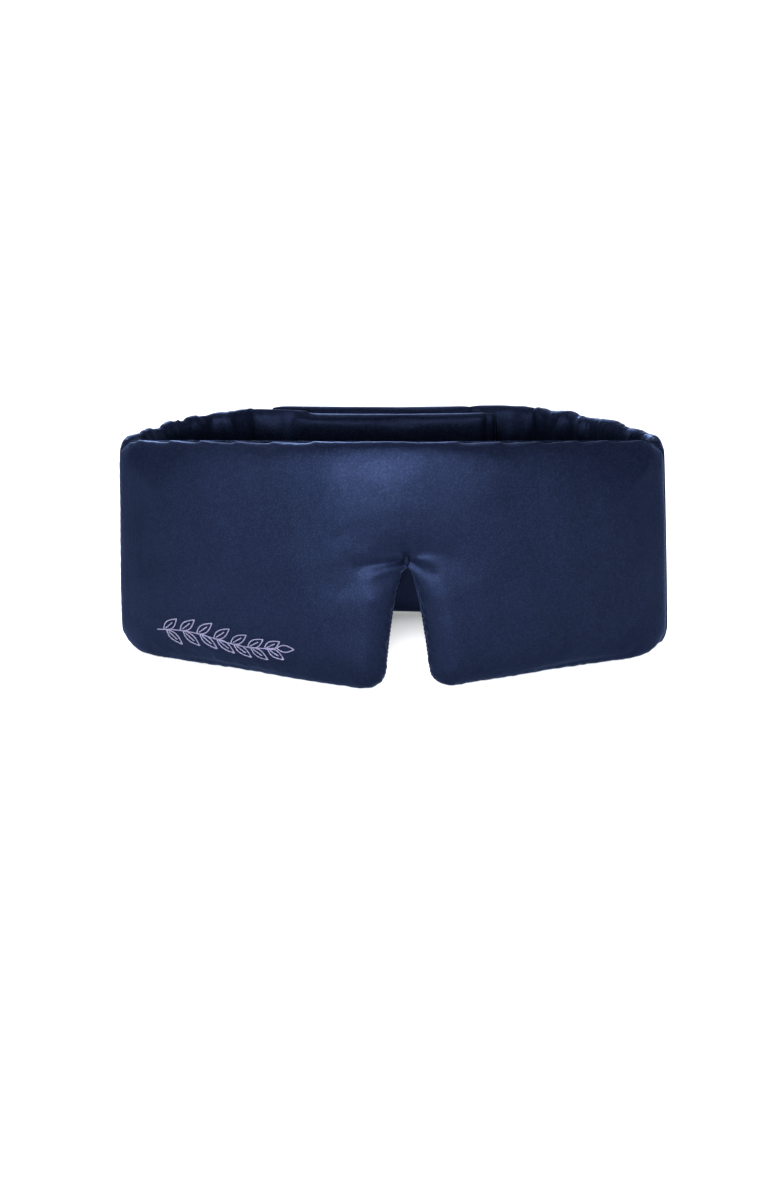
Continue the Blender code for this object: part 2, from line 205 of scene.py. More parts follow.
floor_finish = Finish("floor").set(Base_Color=FLOOR_COLOUR, Roughness=FLOOR_ROUGHNESS)
bend = np.radians(np.linspace(0, 90, 24))
floor_y = np.concatenate([[-FLOOR_REACH], SWEEP_FROM + SWEEP_RADIUS * np.sin(bend), [FLOOR_REACH]])
floor_z = np.concatenate([[0.0], SWEEP_RADIUS * (1 - np.cos(bend)), [WALL_TOP]])
across = np.array([-FLOOR_HALF_WIDTH, FLOOR_HALF_WIDTH])
floor_points = np.stack(np.broadcast_arrays(across[:, None], floor_y, floor_z), -1)
last = len(floor_y)
step = np.arange(last - 1)
floor_faces = np.stack([step, step + last, step + last + 1, step + 1], -1)
floor = mesh_object("floor", floor_points, floor_faces, floor_finish)

ROOM_COLOUR = (0.96, 0.97, 1.0, 1.0)
ROOM_STRENGTH = 0.16
WINDOW_STRENGTH = 3.4
WINDOW_SPREAD = 50             # degrees
WINDOW_SHINES = (0.15, -0.30, -0.95)

world = bpy.data.worlds.new("pale room")
bpy.context.scene.world = world
world.use_nodes = True
world.node_tree.nodes["Background"].inputs["Color"].default_value = ROOM_COLOUR
world.node_tree.nodes["Background"].inputs["Strength"].default_value = ROOM_STRENGTH

window = bpy.data.objects.new("window", bpy.data.lights.new("window", "SUN"))
window.data.energy = WINDOW_STRENGTH
window.data.angle = math.radians(WINDOW_SPREAD)
window.rotation_euler = Vector(WINDOW_SHINES).to_track_quat("-Z", "Y").to_euler()
bpy.context.scene.collection.objects.link(window)

LAMPS = {
    # place, what it faces, width, height, watts, spread in degrees
    "key": ((-0.06, -0.70, 0.15), (0.000, -0.05, 0.06), 0.56, 0.44, 6.0, 60),
    "high": ((-0.35, -0.80, 1.15), (-0.01, -0.04, 0.06), 0.70, 0.50, 0.15, 180),
    "top": ((-0.1, 0.15, 1.3), (0.0, 0.0, 0.05), 0.8, 0.8, 2.0, 180),
    "right": ((1.0, 0.45, 0.45), (0.05, 0.03, 0.06), 0.5, 0.5, 0.6, 30),
    "left": ((-1.0, 0.45, 0.45), (-0.05, 0.03, 0.06), 0.5, 0.5, 0.6, 30),
    "back": ((-0.25, 1.1, 0.45), (0.0, 0.05, 0.05), 0.5, 0.5, 1.1, 30),
    "backdrop": ((0.0, 1.2, 1.3), (0.0, 2.6, 0.5), 2.4, 0.6, 16.0, 180),
}
for name, (place, target, width, height, watts, spread) in LAMPS.items():
    lamp = bpy.data.objects.new(name, bpy.data.lights.new(name, "AREA"))
    lamp.data.shape = "RECTANGLE"
    lamp.data.size = width
    lamp.data.size_y = height
    lamp.data.energy = watts
    lamp.data.spread = math.radians(spread)
    lamp.visible_camera = False
    lamp.location = place
    lamp.rotation_euler = (Vector(target) - Vector(place)).to_track_quat("-Z", "Y").to_euler()
    bpy.context.scene.collection.objects.link(lamp)

# ============================================================ front panel
# Two layers of satin over thick wadding, sewn together round the edge and turned right side
# out, so that the seam sits halfway through the thickness. It is notched for the nose, and
# the top of the notch is drawn in by a bar tack.

FRONT_HALF_WIDTH = 0.1250
FRONT_Y = -0.04315
FRONT_SWEEP = 0.42
NOSE_RADIUS = 0.030
FRONT_TOP = 0.1175
TOP_FALL = 0.14
TOP_CORNER = 0.009
BOTTOM_CORNER = 0.015
CROWN_OUT = 0.0087
CROWN_IN = 0.0052
CROWN_REACH = 0.019
BROAD_REACH = 0.058
NOTCH_X = 0.0085
NOTCH_HEIGHT = 0.060
NOTCH_HALF_WIDTH = 0.0102
NOTCH_POWER = 1.9
LOBE_RADIUS = 0.009
FLARE = 0.0050
FLARE_FROM = 0.070
FLARE_HEIGHT = 0.112
FLARE_LEVEL = 0.52             # the share of that height where the sides stand still
GROWTH = 0.0019                # what remeshing and smoothing took off the edge
VOXEL = 0.0021
PRESSURE = 4.0
UNFILLED = 0.80                # thickness before the wadding swells it
SWELL_CAP = 0.0030             # how far the wadding may push the satin
HALF_SEAM = 0.0006             # half the thickness at a sewn edge
STEEP_SHARE = 0.70
BROAD_SHARE = 0.38
BROAD_POWER = 1.3
CLOTH_FRAMES = 20

NAVY = (0.0016, 0.0028, 0.0086, 1.0)
NAVY_LIGHT = (0.0036, 0.0062, 0.0176, 1.0)
NAVY_DARK = (0.0006, 0.0011, 0.0034, 1.0)
NAVY_SPECK = (0.0060, 0.0098, 0.0250, 1.0)
CLOUDS = 26.0                  # per metre, as are the next six
GRAINS = 1450.0
MOTTLES = 620.0
ROWS = 900.0
FLOAT_PLACE = (700.0, 700.0, 4200.0)
RIPPLE_PLACE = (60.0, 60.0, 26.0)
WRINKLE_PLACE = (240.0, 240.0, 30.0)
WEAVE_RELIEF = 0.00008
RIPPLE_RELIEF = 0.0011
WRINKLE_RELIEF = 0.0012
SATIN_ROUGHNESS = 0.49


def satin(name, tone=1.0, crease=0.0):
    """Navy satin: long floats along X under a fine grain, cloudy in colour and in gloss.

    tone scales its colours.
    crease is how strongly fine upright wrinkles run through it.
    """
    made = Finish(name)
    cloud = made.noise(CLOUDS, 3.0, 0.55)
    grain = made.noise(GRAINS, 1.5, 0.6)
    mottle = made.noise(MOTTLES, 2.0, 0.6)
    floats = made.noise(1.0, 2.0, 0.5, at=made.stretched(FLOAT_PLACE))
    rows = made.add(
        "ShaderNodeTexWave",
        {"Vector": made.place, "Scale": ROWS, "Distortion": 1.2, "Detail": 1.0},
        wave_type="BANDS", bands_direction="Z",
    )
    dark, navy, light, speckled = (
        tuple(c * tone for c in colour[:3]) + (1.0,) for colour in (NAVY_DARK, NAVY, NAVY_LIGHT, NAVY_SPECK)
    )
    base = made.mix((cloud * 0.55 + mottle * 0.45).clamp(), dark, light)
    base = made.mix(0.45, base, navy)
    speck = ((grain - 0.52) * 6.0 + 0.3).clamp()
    base = made.mix(speck * 0.50, base, speckled)
    rough = SATIN_ROUGHNESS + (cloud - 0.5) * 0.12 + (mottle - 0.5) * 0.22 + (floats - 0.5) * 0.10
    height = grain * 0.45 + floats * 0.35 + rows * 0.20
    normal = made.bump(height, WEAVE_RELIEF, 0.75)
    ripples = made.noise(1.0, 3.0, 0.55, at=made.stretched(RIPPLE_PLACE))
    normal = made.bump(ripples, RIPPLE_RELIEF, 0.55, under=normal)
    if crease:
        wrinkles = made.noise(1.0, 3.0, 0.6, at=made.stretched(WRINKLE_PLACE))
        normal = made.bump(wrinkles, WRINKLE_RELIEF * crease, 0.8, under=normal)
    return made.set(
        Base_Color=base, Roughness=rough.clamp(), Normal=normal, Metallic=0.60,
        Specular_IOR_Level=0.08, Specular_Tint=(0.50, 0.62, 1.0, 1.0), Sheen_Weight=0.015,
        Sheen_Roughness=0.45, Sheen_Tint=(0.30, 0.42, 0.85, 1.0), Anisotropic=0.35,
    )


def soft_rise(x, slope, radius):
    """A hyperbola: 0 at the middle, rising to a straight slope on both sides."""
    return slope * (np.sqrt(x * x + radius * radius) - radius)


def unit(vectors):
    """The same directions, one unit long."""
    return vectors / np.maximum(np.linalg.norm(vectors, axis=-1, keepdims=True), 1e-12)


def front_line(x):
    """Plan points of the front seam, a hyperbola in x, and its unit normals out of the loop."""
    points = np.stack([x, FRONT_Y + soft_rise(x, FRONT_SWEEP, NOSE_RADIUS)], -1)
    slope = FRONT_SWEEP * x / np.sqrt(x * x + NOSE_RADIUS ** 2)
    return points, unit(np.stack([slope, -np.ones_like(x)], -1))


def corner(into, radius):
    """Height that a quarter circle takes off an edge, into the corner by this much."""
    into = np.clip(into, 0, radius)
    return radius - np.sqrt(np.maximum(radius ** 2 - into ** 2, 0))


def front_low(x):
    """Lower edge: a powered arch over the nose, a quarter circle at each foot and each corner."""
    off = np.abs(x - NOTCH_X)
    arch = NOTCH_HEIGHT - (NOTCH_HEIGHT - LOBE_RADIUS) * (off / NOTCH_HALF_WIDTH) ** NOTCH_POWER
    lobe = corner(NOTCH_HALF_WIDTH + LOBE_RADIUS - off, LOBE_RADIUS)
    notch = np.where(off < NOTCH_HALF_WIDTH, arch, lobe)
    return np.maximum(notch, corner(np.abs(x) - FRONT_HALF_WIDTH + BOTTOM_CORNER, BOTTOM_CORNER))


def front_high(x):
    """Upper edge: it falls away from the middle as a hyperbola, with a quarter circle at each end."""
    fall = soft_rise(x, TOP_FALL, NOSE_RADIUS)
    return FRONT_TOP - fall - corner(np.abs(x) - FRONT_HALF_WIDTH + TOP_CORNER, TOP_CORNER)


def from_edge(x, z, outline):
    """Vector, in the panel's own plane, to each point from the nearest point of a closed outline."""
    start = outline
    run = np.roll(outline, -1, axis=0) - outline
    here = np.stack([x, z], -1).reshape(-1, 1, 2)
    nearest = np.empty((len(here), 2))
    for chunk in np.array_split(np.arange(len(here)), max(1, len(here) // 4000)):
        gap = here[chunk] - start
        share = np.clip((gap * run).sum(-1) / np.maximum((run * run).sum(-1), 1e-18), 0, 1)
        away = gap - share[..., None] * run
        best = (away * away).sum(-1).argmin(1)
        nearest[chunk] = away[np.arange(len(chunk)), best]
    return nearest.reshape(np.shape(x) + (2,))


def edge_distance(x, z, outline):
    """How far each point is from the outline: the length of the vector above."""
    return np.linalg.norm(from_edge(x, z, outline), axis=-1)


def flared(points):
    """The sides lean out towards the floor: a push that ramps up past FLARE_FROM, inwards at the top."""
    share = np.clip((np.abs(points[:, 0]) - FLARE_FROM) / (FRONT_HALF_WIDTH - FLARE_FROM), 0, 1)
    low = FLARE_LEVEL - points[:, 2] / FLARE_HEIGHT
    points[:, 0] += np.sign(points[:, 0]) * FLARE * share ** 2 * low
    return points


def closed_pad(outer, inner):
    """Points and quads of the closed shell between two grids, whose borders are joined by a wall."""
    columns, rows = outer.shape[:2]
    here = np.arange(columns * rows).reshape(columns, rows)
    there = here + columns * rows

    def cells(grid):
        return np.stack([grid[:-1, :-1], grid[1:, :-1], grid[1:, 1:], grid[:-1, 1:]], -1).reshape(-1, 4)

    def wall(a, b):
        return np.stack([a[:-1], b[:-1], b[1:], a[1:]], -1)

    faces = [cells(here), cells(there)[:, ::-1], wall(here[:, 0], there[:, 0]),
             wall(there[:, -1], here[:, -1]), wall(there[0], here[0]), wall(here[-1], there[-1])]
    return np.concatenate([outer.reshape(-1, 3), inner.reshape(-1, 3)]), np.concatenate(faces)


def coordinates(mesh):
    """The mesh's points as an array (point, 3)."""
    flat = np.empty(len(mesh.vertices) * 3)
    mesh.vertices.foreach_get("co", flat)
    return flat.reshape(-1, 3)


def move_to(mesh, points):
    """Puts the mesh's points at these places."""
    mesh.vertices.foreach_set("co", np.ascontiguousarray(points, dtype=np.float32).ravel())
    mesh.update()


def settle(piece):
    """Applies every modifier, so that the mesh is what shows."""
    bpy.context.view_layer.update()
    mesh = bpy.data.meshes.new_from_object(piece.evaluated_get(bpy.context.evaluated_depsgraph_get()))
    piece.modifiers.clear()
    old, piece.data = piece.data, mesh
    bpy.data.meshes.remove(old)


def fix_facing(piece):
    """Turns the faces outwards if the enclosed volume comes out negative."""
    mesh = piece.data
    points = coordinates(mesh)
    loops = np.empty(len(mesh.loops), int)
    mesh.loops.foreach_get("vertex_index", loops)
    starts = np.empty(len(mesh.polygons), int)
    mesh.polygons.foreach_get("loop_start", starts)
    a, b, c = (points[loops[starts + k]] for k in range(3))
    if (a * np.cross(b, c)).sum() < 0:
        mesh.flip_normals()


def stuffed(name, points, faces, finish, voxel=VOXEL, cap=SWELL_CAP, pressure=PRESSURE, smooth=4):
    """A closed shell remeshed in squares of voxel, blown up as cloth, smoothed and subdivided.

    Each point moves by cap times the hyperbolic tangent of how far the cloth took it, over cap.
    """
    piece = mesh_object(name, points, faces, finish)
    fix_facing(piece)
    remesh = piece.modifiers.new("even", "REMESH")
    remesh.mode = "VOXEL"
    remesh.voxel_size = voxel
    settle(piece)
    rest = coordinates(piece.data)
    cloth = piece.modifiers.new("wadding", "CLOTH")
    cloth.settings.quality = 4
    cloth.settings.mass = 0.25
    cloth.settings.tension_stiffness = 25
    cloth.settings.compression_stiffness = 25
    cloth.settings.shear_stiffness = 12
    cloth.settings.bending_stiffness = 0.4
    cloth.settings.use_pressure = True
    cloth.settings.uniform_pressure_force = pressure
    cloth.settings.effector_weights.gravity = 0
    cloth.collision_settings.use_collision = False
    for frame_number in range(1, CLOTH_FRAMES + 1):
        bpy.context.scene.frame_set(frame_number)
    settle(piece)
    bpy.context.scene.frame_set(1)
    moved = coordinates(piece.data) - rest
    reach = np.linalg.norm(moved, axis=1, keepdims=True)
    move_to(piece.data, rest + moved * (cap * np.tanh(reach / cap) / np.maximum(reach, 1e-9)))
    even = piece.modifiers.new("even", "SMOOTH")
    even.factor = 0.5
    even.iterations = smooth
    finer = piece.modifiers.new("finer", "SUBSURF")
    finer.levels = finer.render_levels = 1
    settle(piece)
    piece.data.shade_smooth()
    return piece


def front_place(points):
    """For points in space: the x of the nearest point of the front line, how far out they are, and
    the normal there. Each of the steps slides x along the tangent by what is left of the gap."""
    along = points[:, 0].copy()
    for _ in range(4):
        line, normal = front_line(along)
        gap = points[:, :2] - line
        tangent = np.stack([-normal[:, 1], normal[:, 0]], -1)
        along += (gap * tangent).sum(1) * tangent[:, 0]
    line, normal = front_line(along)
    return along, ((points[:, :2] - line) * normal).sum(1), normal


def waves(u, v, seed, count, longest, shortest):
    """A sum of sine waves in random directions, lengths between longest and shortest, about 1 high."""
    random = np.random.default_rng(seed)
    angle = random.uniform(0, 2 * np.pi, count)
    length = random.uniform(shortest, longest, count)
    phase = random.uniform(0, 2 * np.pi, count)
    total = sum(np.sin(2 * np.pi * (u * np.cos(a) + v * np.sin(a)) / w + p)
                for a, w, p in zip(angle, length, phase))
    return total / np.sqrt(count)


front_columns = np.unique(np.concatenate([
    np.linspace(-FRONT_HALF_WIDTH, FRONT_HALF_WIDTH, 130),
    NOTCH_X + (NOTCH_HALF_WIDTH + LOBE_RADIUS) * np.linspace(-1, 1, 90),
    (FRONT_HALF_WIDTH - BOTTOM_CORNER * np.linspace(0, 1, 14) ** 2),
    -(FRONT_HALF_WIDTH - BOTTOM_CORNER * np.linspace(0, 1, 14) ** 2),
]))
front_outline = np.concatenate([
    np.stack([front_columns, front_low(front_columns)], -1),
    np.stack([front_columns, front_high(front_columns)], -1)[::-1],
])


def front_shell():
    """Both faces, thinner than when filled: a steep and a broad quarter-ellipse over the distance
    from the edge, added up by their shares."""
    share = (1 - np.cos(np.linspace(0, np.pi, 61))) / 2
    low, high = front_low(front_columns)[:, None], front_high(front_columns)[:, None]
    z = low + (high - low) * share
    x = np.broadcast_to(front_columns[:, None], z.shape)
    edge = edge_distance(x, z, front_outline)
    steep, broad = (
        np.sqrt(1 - (1 - np.clip(edge / reach, 0, 1)) ** 2) for reach in (CROWN_REACH, BROAD_REACH)
    )
    crown = STEEP_SHARE * steep + BROAD_SHARE * broad ** BROAD_POWER
    line, normal = front_line(front_columns)
    faces = []
    for thick in (CROWN_OUT, -CROWN_IN):
        offset = np.sign(thick) * HALF_SEAM + thick * UNFILLED * crown
        plan = line[:, None] + normal[:, None] * offset[..., None]
        faces.append(np.concatenate([plan, z[..., None]], -1))
    return closed_pad(*faces)


def gauss(distance, width):
    """A bell: 1 at no distance, 1/e at a distance of width."""
    return np.exp(-(distance / width) ** 2)


TACK_AT = (NOTCH_X, 0.0625)
DIMPLE_DEPTH = 0.0030
DIMPLE_WIDTH = 0.0045
BESIDE_CREASE = 0.30           # how high the satin bulges beside a crease, against its depth
CREASES = (
    # direction in degrees, length, width, depth
    (183.0, 0.026, 0.0019, 0.0027),
    (-24.0, 0.016, 0.0018, 0.0026),
    (93.0, 0.015, 0.0015, 0.0022),
    (152.0, 0.013, 0.0020, 0.0008),
    (40.0, 0.014, 0.0020, 0.0008),
)


def tuck(x, z):
    """Depth of the tuck: a dimple that dies away exponentially from the bar tack, and creases out of
    it. Each crease is a bell across, with a lower bulge on both sides, and fades along its length."""
    u, v = x - TACK_AT[0], z - TACK_AT[1]
    depth = DIMPLE_DEPTH * np.exp(-np.hypot(u, v) / DIMPLE_WIDTH)
    for degrees, length, width, deep in CREASES:
        c, s = np.cos(np.radians(degrees)), np.sin(np.radians(degrees))
        along, across = u * c + v * s, -u * s + v * c
        fade = np.clip(1 - along / length, 0, 1) ** 1.5 * (along > 0)
        spread = width * (0.6 + along.clip(0) / length)
        bulge = BESIDE_CREASE * gauss(np.abs(across) - 2.2 * spread, spread)
        depth += deep * fade * (gauss(across, spread) - bulge)
    return depth


satin_front = satin("satin_front")
front = stuffed("front_panel", *front_shell(), satin_front)


PUCKER = 0.0048                # from one pucker to the next along the seam
SEAM_SINK = 0.0009
PUCKER_SINK = 0.0005
FEED_HALF_WIDTH = 0.0095       # beside the notch the wadding is packed most
PLUMP = 0.0017
SLACK = 0.00045
FINE_SLACK = 0.00014
INNER_SLACK = 0.0005


def finish_front(mesh):
    """Restores the edge, sinks and puckers the sewn seam, and adds the tuck and slack waves.

    Across the edge the seam is a bell-shaped groove over the offset, times a sine along the seam.
    Through the thickness the outer face moves by the waves, the plump rim and the tuck.
    """
    points = coordinates(mesh)
    along, offset, normal = front_place(points)
    z = points[:, 2]
    away = from_edge(along, z, front_outline)
    near = np.linalg.norm(away, axis=1)
    inside = (z > front_low(along)) & (z < front_high(along)) & (np.abs(along) < FRONT_HALF_WIDTH)
    inward = unit(away) * np.where(inside, 1.0, -1.0)[:, None]
    signed = np.where(inside, near, -near)
    notched = np.clip(1.6 - np.abs(along - NOTCH_X) / 0.020, 0, 1) * np.clip((0.075 - z) / 0.01, 0, 1)
    run = along + z
    pucker = 0.5 + 0.5 * np.sin(2 * np.pi * run / PUCKER + 1.7 * waves(along, z, 3, 5, 0.03, 0.012))
    pucker *= 0.25 + 0.75 * notched
    beside = gauss(np.abs(offset) - 0.0024, 0.0020) * np.clip(1 - near / 0.007, 0, 1)
    groove = gauss(offset, 0.0010) * np.clip(1 - near / 0.005, 0, 1)
    topped = 1 - 0.8 * np.clip((z - 0.08) / 0.01, 0, 1)
    sink = groove * topped * (SEAM_SINK + PUCKER_SINK * pucker) + beside * PUCKER_SINK * pucker
    ended = np.clip((np.abs(along) - 0.095) / 0.022, 0, 1)
    sink = sink - GROWTH * np.clip(1 - signed / 0.009, 0, 1) ** 1.5 * (1 - 0.40 * ended)
    points[:, 0] += inward[:, 0] * sink
    points[:, 2] += inward[:, 1] * sink
    outside = np.clip(offset / 0.003, 0, 1)
    slack = waves(along, z, 11, 7, 0.11, 0.05) * SLACK + waves(along, z, 5, 9, 0.030, 0.016) * FINE_SLACK
    inner = np.clip(-offset / 0.003, 0, 1) * waves(along, z, 8, 8, 0.07, 0.03) * INNER_SLACK
    notch_side = NOTCH_HALF_WIDTH * np.clip((0.060 - z) / 0.051, 0, 1) ** 0.53
    beside_notch = np.abs(along - NOTCH_X) - notch_side
    plump = PLUMP * gauss(beside_notch - FEED_HALF_WIDTH, 0.0065) * np.clip((0.066 - z) / 0.02, 0, 1)
    points[:, :2] += normal * (outside * (slack + plump - tuck(along, z)) - inner)[:, None]
    points[:, 2] = np.maximum(points[:, 2], 0.0001)
    move_to(mesh, flared(points))


finish_front(front.data)
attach(front, "front")
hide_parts("front_cover", "face_lining", "front_padding", "blackout_layer")


def tubes(name, paths, ups, radii, finish, sides=8):
    """Tubes along paths (path, point, axis), closed at both ends.

    Each ring of points is the path's point plus radius times cos across plus sin up.
    """
    ahead = unit(np.gradient(paths, axis=1))
    across = unit(np.cross(ahead, ups))
    ups = np.cross(across, ahead)
    angle = np.arange(sides) * 2 * np.pi / sides
    ring = across[:, :, None] * np.cos(angle)[:, None] + ups[:, :, None] * np.sin(angle)[:, None]
    points = paths[:, :, None] + ring * radii[..., None, None]
    count, length = paths.shape[:2]
    index = np.arange(count * length * sides).reshape(count, length, sides)
    turned = np.roll(index, -1, axis=2)
    quads = np.stack([index[:, :-1], turned[:, :-1], turned[:, 1:], index[:, 1:]], -1)
    faces = quads.reshape(-1, 4).tolist() + index[:, 0, ::-1].tolist() + index[:, -1].tolist()
    made = mesh_object(name, points, faces, finish)
    fix_facing(made)
    return made


def resampled(path, spacing):
    """The same polyline, with points evenly spaced along it."""
    length = np.concatenate([[0], np.cumsum(np.linalg.norm(np.diff(path, axis=0), axis=1))])
    even = np.linspace(0, length[-1], max(3, int(length[-1] / spacing)))
    return np.stack([np.interp(even, length, path[:, k]) for k in range(path.shape[1])], -1), even


# The sewn edge: the two layers' turnings, caught by the seam, show as a thin puckered roll, painted lighter
# as a highlight.
SEAM_RADIUS = 0.00055
SEAM_STITCH = 0.0021           # from one bead of the roll to the next
SEAM_RIPPLE = 0.00016

seam_path, seam_run = resampled(np.concatenate([front_outline, front_outline[:1]]), 0.0007)
seam_line, seam_normal = front_line(seam_path[:, 0])
seam_ripple = waves(seam_run, 0 * seam_run, 17, 5, 0.006, 0.003) * SEAM_RIPPLE
seam_points = np.concatenate([seam_line + seam_normal * seam_ripple[:, None], seam_path[:, 1:]], -1)
seam_points = flared(seam_points)
seam_points[:, 2] = np.maximum(seam_points[:, 2], SEAM_RADIUS * 1.3)
seam_up = np.concatenate([seam_normal, np.zeros((len(seam_normal), 1))], -1)
seam_low = np.clip((0.078 - seam_path[:, 1]) / 0.02, 0, 1)
seam_notched = seam_low * np.clip((0.1 - np.abs(seam_path[:, 0])) / 0.02, 0, 1)
seam_beads = 1 + 0.22 * np.sin(2 * np.pi * seam_run / SEAM_STITCH)
seam_radii = SEAM_RADIUS * seam_beads * (0.4 + 0.6 * seam_notched)
# The seam's satin is the panel's satin at 1.25 times its colour: a painted highlight for the light that the
# rolled edge catches.
seam_satin_painted_highlight = satin("seam_satin_painted_highlight", 1.25)
front_seam = tubes("front_seam", seam_points[None], seam_up[None], seam_radii[None], seam_satin_painted_highlight)
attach(front_seam, "front")

# ============================================================ embroidered sprig
# A leafy sprig in lilac-grey thread, outlined in short stitches low on the left of the front
# panel. Every stitch dips into the satin at both ends.

SPRIG_X = -0.104
SPRIG_LENGTH = 0.056
SPRIG_Z = 0.0175
SPRIG_SWAY = 0.0016
LEAF_LENGTH = 0.0098
LEAF_HALF_WIDTH = 0.0019
LEAF_COUNT = 7
STITCH = 0.0019
THREAD_RADIUS = 0.00026
THREAD_RISE = 0.00026
THREAD_DIP = 0.00008           # how far a stitch's ends go under the satin
THREAD_DARK = (0.026, 0.027, 0.060, 1.0)
THREAD_LIGHT = (0.085, 0.080, 0.150, 1.0)

front_points = coordinates(front.data)
front_along, front_offset, _ = front_place(front_points)


def on_front(u, z, lift):
    """Points on the front panel's outer face, raised by lift, and its normals there.

    The face's offset is the mean of nearby vertices, weighted by a bell of their distance.
    """
    near = (front_offset > 0.002) & (front_along > u.min() - 0.004) & (front_along < u.max() + 0.004)
    near &= (front_points[:, 2] > z.min() - 0.004) & (front_points[:, 2] < z.max() + 0.004)
    a, h, o = front_along[near], front_points[near, 2], front_offset[near]
    square = (u.reshape(-1, 1) - a) ** 2 + (z.reshape(-1, 1) - h) ** 2
    weight = np.exp(-square / 0.0011 ** 2) + 1e-12
    offset = ((weight * o).sum(1) / weight.sum(1)).reshape(u.shape) + lift
    line, normal = front_line(u)
    points = np.concatenate([line + normal * offset[..., None], z[..., None]], -1)
    ups = np.concatenate([normal, np.zeros(normal.shape[:-1] + (1,))], -1)
    return points, ups


def stitches(lines, length):
    """Cuts flat lines into stitches of about this length: an array (stitch, 9 points, 2)."""
    cut = []
    for line in lines:
        even, run = resampled(line, length / 40)
        ends = np.linspace(0, run[-1], max(2, round(run[-1] / length) + 1))
        share = np.linspace(0.02, 0.98, 9)
        places = ends[:-1, None] + np.diff(ends)[:, None] * share
        cut.append(np.stack([np.interp(places, run, even[:, k]) for k in (0, 1)], -1))
    return np.concatenate(cut)


def sprig_lines():
    """A stem that sways as one sine, with pairs of leaves that lean towards its tip.

    Each leaf is two arcs, a powered half sine over its length, and a straight midrib.
    """
    t = np.linspace(0, 1, 60)
    stem = np.stack([SPRIG_X + SPRIG_LENGTH * t, SPRIG_Z + SPRIG_SWAY * np.sin(2 * np.pi * t)], -1)
    lines = [stem]
    for place in np.linspace(0.06, 0.90, LEAF_COUNT):
        foot = np.array([np.interp(place, t, stem[:, 0]), np.interp(place, t, stem[:, 1])])
        for side in (1, -1):
            lean = side * np.radians(47 - 16 * place)
            size = LEAF_LENGTH * (0.70 + 0.30 * np.sin(np.pi * (0.25 + 0.65 * place)))
            out = np.array([np.cos(lean), np.sin(lean)])
            across = np.array([-out[1], out[0]])
            start = foot + np.array([0.0014 * (side < 0), 0.0])
            r = np.linspace(0, 1, 24)[:, None]
            for bow in (1, -1):
                arc = across * bow * LEAF_HALF_WIDTH * np.sin(np.pi * r ** 0.85)
                lines.append(start + out * size * r + arc)
            lines.append(start + out * size * (0.12 + 0.55 * r))
    r = np.linspace(0, 1, 24)[:, None]
    for bow in (1, -1):
        lines.append(stem[-1] + np.array([LEAF_LENGTH * 0.8, 0.0006]) * r
                     + np.array([0.0, bow * LEAF_HALF_WIDTH * 0.9]) * np.sin(np.pi * r ** 0.85))
    return lines


def sewn(name, flat_stitches, radius, high, finish):
    """Stitches laid on the front panel: each arches up by high and thins at its ends."""
    share = np.linspace(-1, 1, flat_stitches.shape[1])
    arch = np.sqrt(1 - 0.96 * share ** 2)
    lift = np.broadcast_to(arch * high - THREAD_DIP, flat_stitches.shape[:2])
    points, ups = on_front(flat_stitches[..., 0], flat_stitches[..., 1], lift)
    radii = np.broadcast_to(radius * (0.55 + 0.45 * arch), flat_stitches.shape[:2])
    return tubes(name, points, ups, radii, finish, sides=8)


thread = Finish("lilac_thread")
twist = thread.noise(1.0, 2.0, 0.6, at=thread.stretched((2600.0, 2600.0, 2600.0)))
shade = thread.noise(180.0, 2.0, 0.5)
thread_colour = thread.mix((twist * 0.6 + shade * 0.4).clamp(), THREAD_DARK, THREAD_LIGHT)
thread.set(Base_Color=thread_colour, Roughness=(0.42 + twist * 0.2).clamp(), Sheen_Weight=0.15,
           Sheen_Roughness=0.4, Normal=thread.bump(twist, 0.0001, 0.8))

sprig_stitches = stitches(sprig_lines(), STITCH)
sprig = sewn("sprig_embroidery", sprig_stitches, THREAD_RADIUS, THREAD_RISE, thread.material)
move_to(sprig.data, flared(coordinates(sprig.data)))
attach(sprig, "front")
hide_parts("embroidered_sprig")

# A small bar of navy stitches holds the tuck at the top of the nose notch.
TACK_HEIGHT = 0.0034
TACK_HALF_WIDTH = 0.0008
TACK_RADIUS = 0.00020
TACK_RISE = 0.00030

tack_z = np.linspace(-0.5, 0.5, 12) * TACK_HEIGHT + TACK_AT[1] + 0.0006
tack_x = TACK_AT[0] + np.linspace(-1, 1, 9) * TACK_HALF_WIDTH
tack_flat = np.stack(np.broadcast_arrays(tack_x[None], tack_z[:, None]), -1)
tack = sewn("nose_tack_stitches", tack_flat, TACK_RADIUS, TACK_RISE, satin("navy_thread", 0.8))
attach(tack, "front")
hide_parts("nose_bar_tack")

# ============================================================ bands and straps
# Each side band is gathered on elastic between the front panel and a strap. The straps are
# thin padded satin, and they overlap behind the head.

STRAP_REACH = 0.007
BAND_TOP = 0.104
INNER_STRAP_Y = 0.03835
OUTER_STRAP_Y = 0.04815
HINGE_X = 0.0665
FLOOR_GAP = 0.0002
SQUARE_ENDS = (0.001, 0.001)   # corner radii, low then high
BAND_THICK = 0.0026
STRAP_THICK = 0.0021
BAND_STARTS = (0.013, 0.007)
BAND_SINKS = 0.0012            # how much of its height a band's upper edge loses


